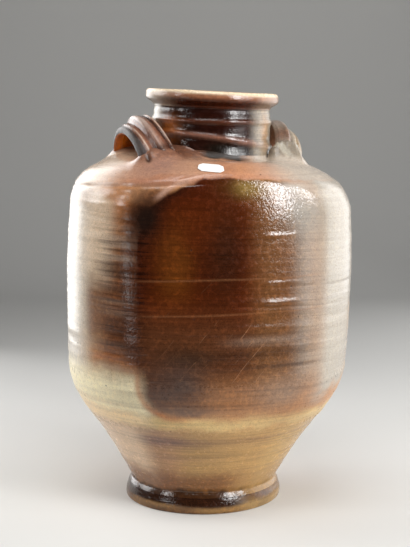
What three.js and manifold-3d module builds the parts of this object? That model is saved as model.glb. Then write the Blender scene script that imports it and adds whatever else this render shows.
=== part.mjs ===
// Stoneware vinegar crock: a storage jar thrown in sections, with a flattened front and two strap lugs.
// Millimetres, +Z up. The origin is the middle of the foot's flat underside, the lugs stand on the X axis
// and the flattened panel faces roughly -Y.

import * as THREE from 'three';
import { mergeVertices } from 'three/addons/utils/BufferGeometryUtils.js';
import Module from 'manifold-3d';

const wasm = await Module();
wasm.setup();

// Thrown wall: thickness, the slip-filled seam between two sections, and the ridge that keys them together,
// which stands at this share of the wall's depth
const wallThickness = 9;
const slipGap = 0.3;
const seamRidge = 2.5;
const seamRidgeDepth = 0.5;

// Foot: the bottom disc and its projecting ledge
const footRadius = 82.8;
const footHeight = 13.5;
const footEdgeRound = 3;
const ledgeTopRound = 4;
const ledgeWidth = 8.8;
const ankleHeight = 2.5;
const ankleAngle = 30;
const floorThickness = 13;

// Drum: a tall barrel with a slight belly, drawn in a little at its foot and top
const drumRadius = 149;
const waistInset = 2.4;
const waistAngle = 3;
const bellyHeight = 93;
const drumTopInset = 2.6;
const drumTopAngle = -4;
const drumTopHeight = 70;

// Lower wall: a cone that turns up into the drum
const coneHeight = 75;
const coneInset = 27.5;
const coneAngle = 39;
const waistHeight = 54;

// Neck: an upright collar with two throwing ridges
const neckRadius = 60.8;
const neckHeight = 42;
const ridgeSwell = 1.6;
const ridgeHalfWidth = 6.5;
const lowRidgeRise = 12.5;
const highRidgeDrop = 13;

// Shoulder: the rounded edge, the slope and the hollow at the foot of the neck
const shoulderEdgeInset = 19.5;
const shoulderEdgeHeight = 33;
const shoulderEdgeAngle = -57;
const shoulderSlopeWidth = 32.2;
const shoulderSlopeHeight = 17;
const shoulderSlopeAngle = -74;
const neckFootHeight = 9;

// Rim: a rolled lip with a narrow flat land on top
const lipOverhang = 8.2;
const lipMiddle = 9;
const lipHeight = 17;
const lipFlareStart = 3;
const lipFlareEnd = 4.5;
const lipRound = 4;
const lipLandWidth = 7;
const lipInnerDrop = 6;

// Flattened front panel: how deep it is pressed, where it faces, and the radii of its crown
const panelDepth = 18;
const panelHeading = -10;
const panelLevel = 150;
const panelCrownAcross = 285;
const panelCrownUpright = 1584;
const panelEdgeRound = 5;

// Settling in the kiln: the rim ends up this far to one side, by a lean that bows over less and less
// towards the top, and the upper part sinks on that side
const leanHeading = -20;
const leanReach = 9.8;
const leanBow = 1.4;
const sinkStart = 100;
const sinkSlope = 0.048;

// Strap lugs: an arch beside the neck, its strap sloping down and outward, with two pulled ridges
const lugHalfSpan = 49;
const lugRise = 41;
const lugRootDrop = 9;
const lugOverhang = 14.5;
const strapFlare = 4;
const strapThickness = 7;
const strapRootThickness = 4;
const strapCrownSlope = 39;
const strapRootSlope = 20;
const strapRidge = 1.5;
const strapRidgePitch = 0.83;
const strapFirstRidge = -0.4;
const strapEdgePower = 6;
const strapRootPower = 6;

// The two lugs, pulled by hand: how far each root stands off the neck, and half the strap's width
const leftLug = { heading: 180, standOff: 8.7, halfWidth: 17 };
const rightLug = { heading: 0, standOff: 1.2, halfWidth: 12.5 };

// Paper label on the front of the shoulder, its middle set in from the top of the panel
const labelWidth = 25;
const labelLength = 16;
const labelCorner = 4;
const labelThickness = 0.4;
const labelHeading = -20.5;
const labelInset = 10.5;

// Fineness of the facets
const turnSteps = 48;
const ledgeSteps = 3;
const lowerSteps = [2, 5];
const drumSteps = [3, 3];
const shoulderSteps = [4, 2, 4];
const neckSteps = 12;
const lipSteps = 4;
const lugSteps = 22;
const strapSteps = 14;
const labelSteps = 6;
const labelRows = 6;
const mergeDistance = 1e-3;

const degrees = Math.PI / 180;

// Levels, stacked from the foot up
const ankleLevel = footHeight + ankleHeight;
const coneLevel = ankleLevel + coneHeight;
const waistLevel = coneLevel + waistHeight;
const bellyLevel = waistLevel + bellyHeight;
const drumTopLevel = bellyLevel + drumTopHeight;
const shoulderEdgeLevel = drumTopLevel + shoulderEdgeHeight;
const shoulderSlopeLevel = shoulderEdgeLevel + shoulderSlopeHeight;
const neckFootLevel = shoulderSlopeLevel + neckFootHeight;
const neckTopLevel = neckFootLevel + neckHeight;
const rimLevel = neckTopLevel + lipHeight;

// Stations of the outer wall: radius, level and the wall's angle off vertical, outward positive
const station = (radius, level, angle) => ({ radius, level, angle });
const ankleRadius = footRadius - ledgeWidth;
const shoulderSlopeRadius = neckRadius + shoulderSlopeWidth;
const ankle = station(ankleRadius, ankleLevel, ankleAngle);
const coneTop = station(drumRadius - coneInset, coneLevel, coneAngle);
const waist = station(drumRadius - waistInset, waistLevel, waistAngle);
const belly = station(drumRadius, bellyLevel, 0);
const drumTop = station(drumRadius - drumTopInset, drumTopLevel, drumTopAngle);
const shoulderEdge = station(drumRadius - shoulderEdgeInset, shoulderEdgeLevel, shoulderEdgeAngle);
const shoulderSlope = station(shoulderSlopeRadius, shoulderSlopeLevel, shoulderSlopeAngle);
const neckFoot = station(neckRadius, neckFootLevel, 0);

const upward = new THREE.Vector2(0, 1);
const stationPoint = (s) => new THREE.Vector2(s.radius, s.level);
const stationHeading = (s) => new THREE.Vector2(Math.sin(s.angle * degrees), Math.cos(s.angle * degrees));

// One bend of the wall between two stations, tangent to both, as points from the lower to the upper
function bend(from, to, steps) {
  const start = stationPoint(from);
  const end = stationPoint(to);
  const handle = start.distanceTo(end) / 3;
  const leave = start.clone().addScaledVector(stationHeading(from), handle);
  const arrive = end.clone().addScaledVector(stationHeading(to), -handle);
  return new THREE.CubicBezierCurve(start, leave, arrive, end).getPoints(steps);
}

// Bends joined end to end, without doubled points
function wallLine(stations, steps) {
  const bends = stations.slice(1).map((to, i) => bend(stations[i], to, steps[i]));
  return bends.flatMap((points, i) => (i === 0 ? points : points.slice(1)));
}

// Heading of a line of points at one of them
function headingAt(line, i) {
  const before = line[Math.max(i - 1, 0)];
  const after = line[Math.min(i + 1, line.length - 1)];
  return after.clone().sub(before).normalize();
}

// The line moved sideways: a positive distance goes inward, towards the axis side of a rising wall
function offsetLine(line, headings, distance) {
  return line.map((point, i) => new THREE.Vector2(
    point.x - headings[i].y * distance,
    point.y + headings[i].x * distance,
  ));
}

// A profile point knows how deep it lies in the wall: 0 on the outside, 1 on the inside
const profilePoint = (point, depth) => ({ radius: point.x, level: point.y, depth });

// Seam across the wall at one end of a section: outer edge, keyed ridge in mid wall, inner edge
function seam(outer, heading, lift) {
  const inward = new THREE.Vector2(-heading.y, heading.x);
  const across = (depth, rise) => profilePoint(
    outer.clone().addScaledVector(inward, wallThickness * depth).addScaledVector(heading, lift + rise),
    depth,
  );
  return [across(0, 0), across(seamRidgeDepth, seamRidge), across(1, 0)];
}

// Closed profile of one thrown section: up the outside, over the upper seam, down the inside, and back
function sectionProfile(line, startHeading, endHeading, straightInside = false) {
  const headings = line.map((_, i) => headingAt(line, i));
  headings[0] = startHeading;
  headings[line.length - 1] = endHeading;
  const outside = line.slice(1, -1).map((point) => profilePoint(point, 0));
  const innerLine = straightInside ? [] : offsetLine(line, headings, wallThickness).slice(1, -1);
  const inside = innerLine.map((point) => profilePoint(point, 1));
  const lower = seam(line[0], startHeading, slipGap);
  const upper = seam(line[line.length - 1], endHeading, 0);
  return [lower[0], ...outside, ...upper, ...inside.reverse(), lower[2], lower[1], lower[0]];
}

// Distance of the flattened panel's face from the axis, in one direction and at one level
function panelDistance(angle, level) {
  const reach = drumRadius - panelDepth - (level - panelLevel) ** 2 / (2 * panelCrownUpright);
  const facing = Math.cos(angle);
  const aside = Math.sin(angle);
  const root = Math.sqrt(facing * facing + (2 * reach * aside * aside) / panelCrownAcross);
  return (2 * reach) / Math.max(facing + root, Number.EPSILON);
}

// A radius pressed in by the panel, with a rounded edge where the flat leaves the round wall
function pressedRadius(radius, angle, level, depth) {
  const face = panelDistance(angle, level) - depth * wallThickness;
  return (radius + face - Math.hypot(radius - face, panelEdgeRound)) / 2;
}

// Where a point of the true jar ends up after the panel is pressed
function pressed(point, depth) {
  const radius = Math.hypot(point.x, point.y);
  if (radius === 0) {
    return point;
  }
  const angle = Math.atan2(point.x, -point.y) - panelHeading * degrees;
  const share = pressedRadius(radius, angle, point.z, depth) / radius;
  return new THREE.Vector3(point.x * share, point.y * share, point.z);
}

// Where a point ends up after the jar has leaned over and sunk on that side in the kiln
const leanDirection = new THREE.Vector3(Math.cos(leanHeading * degrees), Math.sin(leanHeading * degrees), 0);
function settled(point) {
  const share = 1 - Math.max(1 - point.z / rimLevel, 0) ** leanBow;
  const sunkShare = Math.max(point.z - sinkStart, 0) / (rimLevel - sinkStart);
  const slope = sinkSlope * sunkShare * (2 - sunkShare);
  const moved = point.clone().addScaledVector(leanDirection, leanReach * share);
  moved.z -= slope * point.dot(leanDirection);
  return moved;
}

// Every vertex of a geometry moved by one function of its place and its number
function moveVertices(geometry, move) {
  const position = geometry.attributes.position;
  const point = new THREE.Vector3();
  for (let i = 0; i < position.count; i += 1) {
    const moved = move(point.fromBufferAttribute(position, i), i);
    position.setXYZ(i, moved.x, moved.y, moved.z);
  }
  geometry.computeVertexNormals();
  return geometry;
}

// Profile turned about the jar's axis; LatheGeometry turns about Y, so it is stood up along Z
function turned(profile) {
  const outline = profile.map((point) => new THREE.Vector2(point.radius, point.level));
  return new THREE.LatheGeometry(outline, turnSteps).rotateX(Math.PI / 2);
}

// A thrown section: turned, pressed by the panel and settled with the rest of the jar
function thrownSection(profile) {
  const depthOf = (i) => profile[i % profile.length].depth;
  return moveVertices(turned(profile), (point, i) => settled(pressed(point, depthOf(i))));
}

// Foot: flat underside, rounded ledge, hollow above the ledge, seam, and the floor inside
function footProfile() {
  const ledge = new THREE.Path();
  ledge.moveTo(footRadius - footEdgeRound, 0);
  ledge.quadraticCurveTo(footRadius, 0, footRadius, footEdgeRound);
  ledge.lineTo(footRadius, footHeight - ledgeTopRound);
  ledge.quadraticCurveTo(footRadius, footHeight, footRadius - ledgeTopRound, footHeight);
  const outside = ledge.getPoints(ledgeSteps).map((point) => profilePoint(point, 0));
  const rim = seam(stationPoint(ankle), upward, 0);
  const floorEdge = profilePoint(new THREE.Vector2(ankleRadius - wallThickness, floorThickness), 1);
  const axis = (level) => profilePoint(new THREE.Vector2(0, level), 1);
  return [axis(0), ...outside, ...rim, floorEdge, axis(floorThickness)];
}

// Neck line: upright, swelling at each throwing ridge
function neckLine() {
  const ridge = (rise, level) => {
    const away = Math.min(Math.abs(rise - level) / ridgeHalfWidth, 1);
    return (ridgeSwell * (1 + Math.cos(Math.PI * away))) / 2;
  };
  return Array.from({ length: neckSteps + 1 }, (_, i) => {
    const rise = (neckHeight * i) / neckSteps;
    const swell = ridge(rise, lowRidgeRise) + ridge(rise, neckHeight - highRidgeDrop);
    return new THREE.Vector2(neckRadius + swell, neckFootLevel + rise);
  });
}

// Rim: the seam on the neck, the rolled outer face, the flat land on top and the rounded inner edge
function rimProfile() {
  const bore = neckRadius - wallThickness;
  const lipRadius = neckRadius + lipOverhang;
  const lipLevel = neckTopLevel + lipMiddle;
  const landOuter = lipRadius - lipRound;
  const landInner = landOuter - lipLandWidth;
  const lip = new THREE.Path();
  lip.moveTo(neckRadius, neckTopLevel + slipGap);
  lip.bezierCurveTo(neckRadius, neckTopLevel + lipFlareStart, lipRadius, lipLevel - lipFlareEnd,
    lipRadius, lipLevel);
  lip.quadraticCurveTo(lipRadius, rimLevel, landOuter, rimLevel);
  lip.lineTo(landInner, rimLevel);
  lip.quadraticCurveTo(bore, rimLevel, bore, rimLevel - lipInnerDrop);
  const lower = seam(new THREE.Vector2(neckRadius, neckTopLevel), upward, slipGap);
  const depthAt = (radius) => (radius > landInner ? 0 : 1);
  const face = lip.getPoints(lipSteps).slice(1).map((point) => profilePoint(point, depthAt(point.x)));
  return [lower[0], ...face, lower[2], lower[1], lower[0]];
}

// Closed solid from rings of equal length, with a fan over each end
function loft(rings) {
  const count = rings[0].length;
  const middle = (ring) => ring.reduce((sum, point) => sum.add(point), new THREE.Vector3())
    .divideScalar(ring.length);
  const points = [...rings.flat(), middle(rings[0]), middle(rings[rings.length - 1])];
  const startMiddle = points.length - 2;
  const endMiddle = points.length - 1;
  const lastRing = (rings.length - 1) * count;
  const faces = [];
  for (let j = 0; j < count; j += 1) {
    const next = (j + 1) % count;
    for (let i = 0; i < lastRing; i += count) {
      faces.push(i + j, i + next, i + count + next, i + j, i + count + next, i + count + j);
    }
    faces.push(startMiddle, next, j, endMiddle, lastRing + j, lastRing + next);
  }
  return new THREE.BufferGeometry().setFromPoints(points).setIndex(faces);
}

// Cross-section of the strap: ridged upper face and smooth underside, as width share and height
function strapSection(halfThickness) {
  const shares = Array.from({ length: strapSteps + 1 }, (_, i) => (2 * i) / strapSteps - 1);
  const edge = (share) => Math.sqrt(1 - share ** strapEdgePower);
  const turns = (share) => (share - strapFirstRidge) / strapRidgePitch;
  const ridges = (share) => strapRidge * Math.cos(2 * Math.PI * turns(share));
  const upper = shares.map((share) => [share, (halfThickness + ridges(share)) * edge(share)]);
  const lower = shares.slice(1, -1).filter((_, i) => i % 2 === 1)
    .map((share) => [share, -halfThickness * edge(share)]);
  return [...upper, ...lower.reverse()];
}

// A strap lug on the +X side: the strap's section carried over an arch that stands out beside the neck
function lugSolid({ standOff, halfWidth }) {
  const rootRadius = neckRadius + standOff;
  const baseLevel = shoulderSlopeLevel - lugRootDrop;
  const rings = Array.from({ length: lugSteps + 1 }, (_, i) => {
    const turn = (i / lugSteps - 0.5) * Math.PI;
    const aside = Math.sin(turn);
    const lift = Math.cos(turn);
    const middle = new THREE.Vector3(rootRadius + lugOverhang * lift, lugHalfSpan * aside,
      baseLevel + lugRise * lift);
    const along = new THREE.Vector3(-lugOverhang * aside, lugHalfSpan * lift, -lugRise * aside).normalize();
    const slope = (strapRootSlope + (strapCrownSlope - strapRootSlope) * lift) * degrees;
    const wide = new THREE.Vector3(Math.cos(slope), 0, -Math.sin(slope));
    wide.addScaledVector(along, -wide.dot(along)).normalize();
    const thick = new THREE.Vector3().crossVectors(along, wide).negate();
    const root = aside ** strapRootPower;
    const reach = halfWidth + strapFlare * root;
    return strapSection((strapThickness + strapRootThickness * root) / 2).map(([share, height]) => (
      middle.clone().addScaledVector(wide, reach * share).addScaledVector(thick, height)
    ));
  });
  return loft(rings);
}

// Solid for joining and cutting, from a closed geometry
function toSolid(geometry) {
  const bare = geometry.clone();
  bare.deleteAttribute('normal');
  bare.deleteAttribute('uv');
  const merged = mergeVertices(bare, mergeDistance);
  return new wasm.Manifold(new wasm.Mesh({
    numProp: 3,
    vertProperties: new Float32Array(merged.attributes.position.array),
    triVerts: new Uint32Array(merged.index.array),
  }));
}

function toGeometry(solid) {
  const { vertProperties, triVerts } = solid.getMesh();
  const geometry = new THREE.BufferGeometry();
  geometry.setAttribute('position', new THREE.BufferAttribute(new Float32Array(vertProperties), 3));
  geometry.setIndex(new THREE.BufferAttribute(new Uint32Array(triVerts), 1));
  geometry.computeVertexNormals();
  return geometry;
}

const lowerLine = wallLine([ankle, coneTop, waist], lowerSteps);
const drumLine = wallLine([waist, belly, drumTop], drumSteps);
const shoulderLine = wallLine([drumTop, shoulderEdge, shoulderSlope, neckFoot], shoulderSteps);
const neckOutline = neckLine();

// Block that the lugs' roots are fitted to: shoulder and neck, grown by the slip gap
function seatBlock() {
  const line = [...shoulderLine, ...neckOutline.slice(1)];
  const headings = line.map((_, i) => headingAt(line, i));
  const grown = offsetLine(line, headings, -slipGap);
  const axis = (level) => new THREE.Vector2(0, level);
  const outline = [axis(grown[0].y), ...grown, axis(grown[grown.length - 1].y)];
  return toSolid(turned(outline.map((point) => profilePoint(point, 0))));
}

const seat = seatBlock();

function lugGeometry(lug) {
  const fitted = toGeometry(toSolid(lugSolid(lug)).subtract(seat));
  return moveVertices(fitted.rotateZ(lug.heading * degrees), (point) => settled(point));
}

// Where the shoulder's line has drawn in to a radius, and the direction out of the wall there
function shoulderSpot(radius) {
  const above = shoulderLine.findIndex((point) => point.x < radius);
  const start = shoulderLine[above - 1];
  const heading = shoulderLine[above].clone().sub(start).normalize();
  const spot = start.clone().addScaledVector(heading, (radius - start.x) / heading.x);
  return { spot, out: new THREE.Vector2(heading.y, -heading.x) };
}

// Paper label: an oblong with cut corners, laid on the shoulder row by row
function labelGeometry() {
  const panelTop = panelDistance((labelHeading - panelHeading) * degrees, shoulderSlopeLevel);
  const labelRadius = panelTop - labelInset;
  const slant = shoulderSpot(labelRadius).out.y;
  const place = (across, along, lift) => {
    const { spot, out } = shoulderSpot(labelRadius + along * slant);
    spot.addScaledVector(out, lift);
    const angle = labelHeading * degrees + across / labelRadius;
    const point = new THREE.Vector3(spot.x * Math.sin(angle), -spot.x * Math.cos(angle), spot.y);
    return settled(pressed(point, 0));
  };
  const shares = (steps) => Array.from({ length: steps + 1 }, (_, i) => (2 * i) / steps - 1);
  const end = labelLength / 2;
  const side = labelWidth / 2;
  return loft(shares(labelRows).map((row) => {
    const along = row * end;
    const reach = side - Math.max(Math.abs(along) - (end - labelCorner), 0);
    const face = (lift) => shares(labelSteps).map((share) => place(share * reach, along, lift));
    return [...face(slipGap), ...face(slipGap + labelThickness).reverse()];
  }));
}

const glaze = (color, roughness) => new THREE.MeshStandardMaterial({ color, roughness, metalness: 0 });
const crock = new THREE.Group();
crock.name = 'vinegar_crock';

function addPiece(name, geometry, material) {
  const mesh = new THREE.Mesh(geometry, material);
  mesh.name = name;
  crock.add(mesh);
}

const lowerProfile = sectionProfile(lowerLine, upward, stationHeading(waist));
const drumProfile = sectionProfile(drumLine, stationHeading(waist), stationHeading(drumTop));
const shoulderProfile = sectionProfile(shoulderLine, stationHeading(drumTop), upward);
const neckProfile = sectionProfile(neckOutline, upward, upward, true);

addPiece('foot_base', thrownSection(footProfile()), glaze(0x6b4a2c, 0.35));
addPiece('lower_wall', thrownSection(lowerProfile), glaze(0xa9824f, 0.35));
addPiece('drum_wall', thrownSection(drumProfile), glaze(0x6d3b1d, 0.3));
addPiece('shoulder', thrownSection(shoulderProfile), glaze(0x9a6241, 0.35));
addPiece('neck_collar', thrownSection(neckProfile), glaze(0x5f3a2a, 0.3));
addPiece('rim_lip', thrownSection(rimProfile()), glaze(0xb08b74, 0.4));
addPiece('left_handle', lugGeometry(leftLug), glaze(0x8a6a58, 0.4));
addPiece('right_handle', lugGeometry(rightLug), glaze(0xa68f7c, 0.4));
addPiece('paper_label', labelGeometry(), glaze(0xf4f3ef, 0.8));

export default crock;
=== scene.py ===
import math

import bpy
import numpy as np
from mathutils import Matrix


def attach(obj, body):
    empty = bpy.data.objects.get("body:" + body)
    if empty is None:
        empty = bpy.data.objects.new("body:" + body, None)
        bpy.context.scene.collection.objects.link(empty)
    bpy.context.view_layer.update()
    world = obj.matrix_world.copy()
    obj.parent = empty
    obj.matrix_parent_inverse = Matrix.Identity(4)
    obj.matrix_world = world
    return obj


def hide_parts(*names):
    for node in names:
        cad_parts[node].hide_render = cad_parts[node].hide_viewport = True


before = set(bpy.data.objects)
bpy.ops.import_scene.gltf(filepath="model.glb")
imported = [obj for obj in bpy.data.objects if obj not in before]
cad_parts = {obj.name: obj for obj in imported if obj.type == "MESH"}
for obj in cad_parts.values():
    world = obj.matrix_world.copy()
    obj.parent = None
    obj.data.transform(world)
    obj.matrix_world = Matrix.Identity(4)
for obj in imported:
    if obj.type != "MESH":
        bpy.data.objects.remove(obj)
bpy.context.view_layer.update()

# Foot: the thick bottom disc with a projecting ledge, thrown in iron-bearing stoneware.
# The ledge caught a dark, glossy pool of glaze, which thins to ochre where the side meets the ground,
# and the flat underside was wiped bare before firing.
metre = 0.001
columns = 512
azimuth = np.linspace(-np.pi, np.pi, columns, endpoint=False)[None, :]
facing = np.degrees(azimuth)
wall = 9.0
foot_radius, foot_edge_round = 82.8, 3.0
ledge_edge_level, ledge_round, ledge_slope = 8.0, 3.0, 0.36
ankle_radius, ankle_level = 74.0, 16.0
ledge_top_radius = foot_radius - ledge_slope * (ankle_level - ledge_edge_level)
ledge_fade, ledge_wobble, ledge_wave = 5.0, 0.6, 0.3
floor_level, floor_middle = 13.0, 6.0
glaze_skin = 0.6
rim_level = 426.0
lean_heading, lean_reach, lean_bow = math.radians(-20), 9.8, 1.4
sink_start, sink_slope = 100.0, 0.048
sharp_edge = math.radians(60)
line_stretch, fine_line_stretch, scratch_breaks = (6.0, 250.0, 1.0), (15.0, 860.0, 1.0), (26.0, 120.0, 1.0)
scratch_slant, scratch_scale = math.radians(-48), 30.0
peel_scale, grain_scale, mottle_scale, pit_scale = 460.0, 820.0, 230.0, 62.0
dark_line, pale_line = (0.26, 0.24, 0.26, 1), (2.2, 2.05, 1.95, 1)
dark_speck, amber_fleck = (0.6, 0.52, 0.46, 1), (1.6, 1.5, 1.3, 1)
scratch_tint, pit_tint = (150, 108, 78), (58, 36, 24)
bore_tint, pool_tint = (112, 70, 42), (46, 24, 12)


def eased(value, start, end):
    """0 before the start and 1 after the end, with a soft S between them; the start may be the larger."""
    share = np.clip((value - start) / (end - start), 0, 1)
    return share * share * (3 - 2 * share)


def bell(value, middle, reach):
    """A bell that is 1 at the middle and falls to about a third at the reach."""
    return np.exp(-(((value - middle) / reach) ** 2))


def past(start, end):
    """0 round the jar before the start heading and 1 past the end heading, in degrees, eased between them."""
    return eased(facing, start, end)


def sector(start, full, fade, end):
    """1 round the jar from full to fade, and eased down to 0 at the start and the end, all in degrees."""
    return past(start, full) * past(end, fade)


def patch(level, heading, heading_reach, height, height_reach):
    """A soft oval patch on the wall, about a heading in degrees and a height in mm."""
    away = (facing - heading + 180) % 360 - 180
    return bell(away, 0, heading_reach) * bell(level, height, height_reach)


def kiln_noise(level, around, rise, seed):
    """Smooth random field on the wall, from -1 to 1: one random number at each corner of a lattice that has
    'around' cells a turn, each 'rise' mm tall, eased from corner to corner."""
    corners = np.random.default_rng(seed).uniform(-1, 1, (int(rim_level / rise) + 4, around))
    across, upward = np.broadcast_arrays((azimuth / (2 * np.pi) + 0.5) * around, level / rise)
    column = np.floor(across).astype(int)
    row = np.clip(np.floor(upward).astype(int), 0, len(corners) - 2)
    side = eased(across - column, 0, 1)
    rise_share = eased(upward - row, 0, 1)
    here, beside = column % around, (column + 1) % around
    low = corners[row, here] * (1 - side) + corners[row, beside] * side
    high = corners[row + 1, here] * (1 - side) + corners[row + 1, beside] * side
    return low * (1 - rise_share) + high * rise_share


def settled(points):
    """The jar as it left the kiln: each point moves along the lean by the bowed share of its height, and
    sinks on that side by a slope that grows from the sink's start up to the rim."""
    height = points[..., 2]
    toward = points[..., 0] * math.cos(lean_heading) + points[..., 1] * math.sin(lean_heading)
    lean = lean_reach * (1 - np.clip(1 - height / rim_level, 0, None) ** lean_bow)
    sunk = np.clip(height - sink_start, 0, None) / (rim_level - sink_start)
    drop = sink_slope * sunk * (2 - sunk) * toward
    east = points[..., 0] + lean * math.cos(lean_heading)
    north = points[..., 1] + lean * math.sin(lean_heading)
    return np.stack([east, north, height - drop], -1)


def turned(radius, level):
    """Radii and levels turned about the jar's axis: one row of points round the jar for each."""
    level = level + 0 * radius * azimuth
    return np.stack([radius * np.sin(azimuth), -radius * np.cos(azimuth), level], -1)


def curve(start, corner, end, steps):
    """Points of a quadratic curve from start to end that is drawn towards the corner."""
    share = np.linspace(0, 1, steps)[:, None]
    start, corner, end = np.array(start), np.array(corner), np.array(end)
    return (1 - share) ** 2 * start + 2 * share * (1 - share) * corner + share**2 * end


def straight(start, end, steps):
    """Evenly spaced points of a straight line from start to end."""
    return np.linspace(start, end, steps)


def grid_piece(name, points, colour, masks, material, capped=False, lengthwise=False):
    """A closed mesh from a grid of points in mm. Its columns close round, and its rows close on themselves
    too, or a flat cap closes each end. The colour and the masks become attributes of the points. The UV map
    holds the way round and the way from row to row in metres, or these two swapped on a lengthwise piece."""
    rows, count = points.shape[:2]
    number = np.arange(rows * count).reshape(rows, count)
    low = number[:-1] if capped else number
    high = number[1:] if capped else np.roll(number, -1, 0)
    quads = np.stack([low, np.roll(low, -1, 1), np.roll(high, -1, 1), high], -1).reshape(-1, 4)
    caps = [number[0, ::-1].tolist(), number[-1].tolist()] if capped else []
    gaps = np.linalg.norm(np.diff(points, axis=0, append=points[:1]), axis=-1).mean(1) * metre
    along = np.concatenate([[0], np.cumsum(gaps)])
    girth = np.linalg.norm(np.diff(points, axis=1, append=points[:, :1]), axis=-1).sum(1).max() * metre
    row, column = np.divmod(quads[:, 0], count)
    corner_column = column[:, None] + np.array([0, 1, 1, 0])
    corner_row = row[:, None] + np.array([0, 0, 1, 1])
    ways = [corner_column / count * girth, along[corner_row]]
    uv = np.stack(ways[::-1] if lengthwise else ways, -1).reshape(-1, 2)
    uv = np.concatenate([uv, np.zeros((sum(map(len, caps)), 2))])
    mesh = bpy.data.meshes.new(name)
    mesh.from_pydata((points.reshape(-1, 3) * metre).tolist(), [], quads.tolist() + caps)
    mesh.uv_layers.new(name="wall_map").data.foreach_set("uv", uv.astype(np.float32).ravel())
    clay = np.broadcast_to(colour, (rows, count, 4)).astype(np.float32)
    mesh.attributes.new("clay", "FLOAT_COLOR", "POINT").data.foreach_set("color", clay.ravel())
    for mask, value in masks.items():
        shares = np.broadcast_to(value, (rows, count)).astype(np.float32)
        mesh.attributes.new(mask, "FLOAT", "POINT").data.foreach_set("value", shares.ravel())
    mesh.materials.append(material)
    mesh.shade_smooth()
    mesh.set_sharp_from_angle(angle=sharp_edge)
    piece = bpy.data.objects.new(name, mesh)
    bpy.context.scene.collection.objects.link(piece)
    return piece


def tone(red, green, blue):
    """A colour given as 0 to 255, as the linear values that a shader takes."""
    share = np.array([red, green, blue]) / 255
    linear = np.where(share <= 0.04045, share / 12.92, ((share + 0.055) / 1.055) ** 2.4)
    return np.append(linear, 1.0)


def over(colour, tint, share):
    """A tint laid over a colour by a share, point by point."""
    return colour + np.asarray(share)[..., None] * (tint - colour)


def painted(ground, **coats):
    """Named coats laid over a ground one after another, each a tint of 0 to 255 and the share it covers."""
    for tint, share in coats.values():
        ground = over(ground, tone(*tint), share)
    return ground


def add_node(tree, kind, inputs, **settings):
    """A shader node with its settings; each input is a plain value or the socket that feeds it."""
    node = tree.nodes.new("ShaderNode" + kind)
    for key, value in settings.items():
        setattr(node, key, value)
    for key, value in inputs.items():
        if isinstance(value, bpy.types.NodeSocket):
            tree.links.new(value, node.inputs[key])
        else:
            node.inputs[key].default_value = value
    return node


def mixed(tree, share, first, second, way="MIX"):
    """Two colours mixed by a share."""
    node = add_node(tree, "Mix", {0: share, 6: first, 7: second}, data_type="RGBA", blend_type=way)
    return node.outputs[2]


def spread(tree, value, low, high, to_low=0.0, to_high=1.0):
    """A value spread from one range to another and held inside it, with soft ends."""
    inputs = {0: value, 1: low, 2: high, 3: to_low, 4: to_high}
    return add_node(tree, "MapRange", inputs, interpolation_type="SMOOTHSTEP").outputs[0]


def cloud(tree, place, scale, detail=3.0, rough=0.55):
    """Cloudy noise of about 0 to 1; its grain is one over the scale, in metres."""
    inputs = {"Vector": place, "Scale": scale, "Detail": detail, "Roughness": rough}
    return add_node(tree, "TexNoise", inputs).outputs[0]


def new_material(name):
    """A material, the tree of its nodes and its surface shader."""
    material = bpy.data.materials.new(name)
    material.use_nodes = True
    return material, material.node_tree, material.node_tree.nodes["Principled BSDF"]


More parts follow.
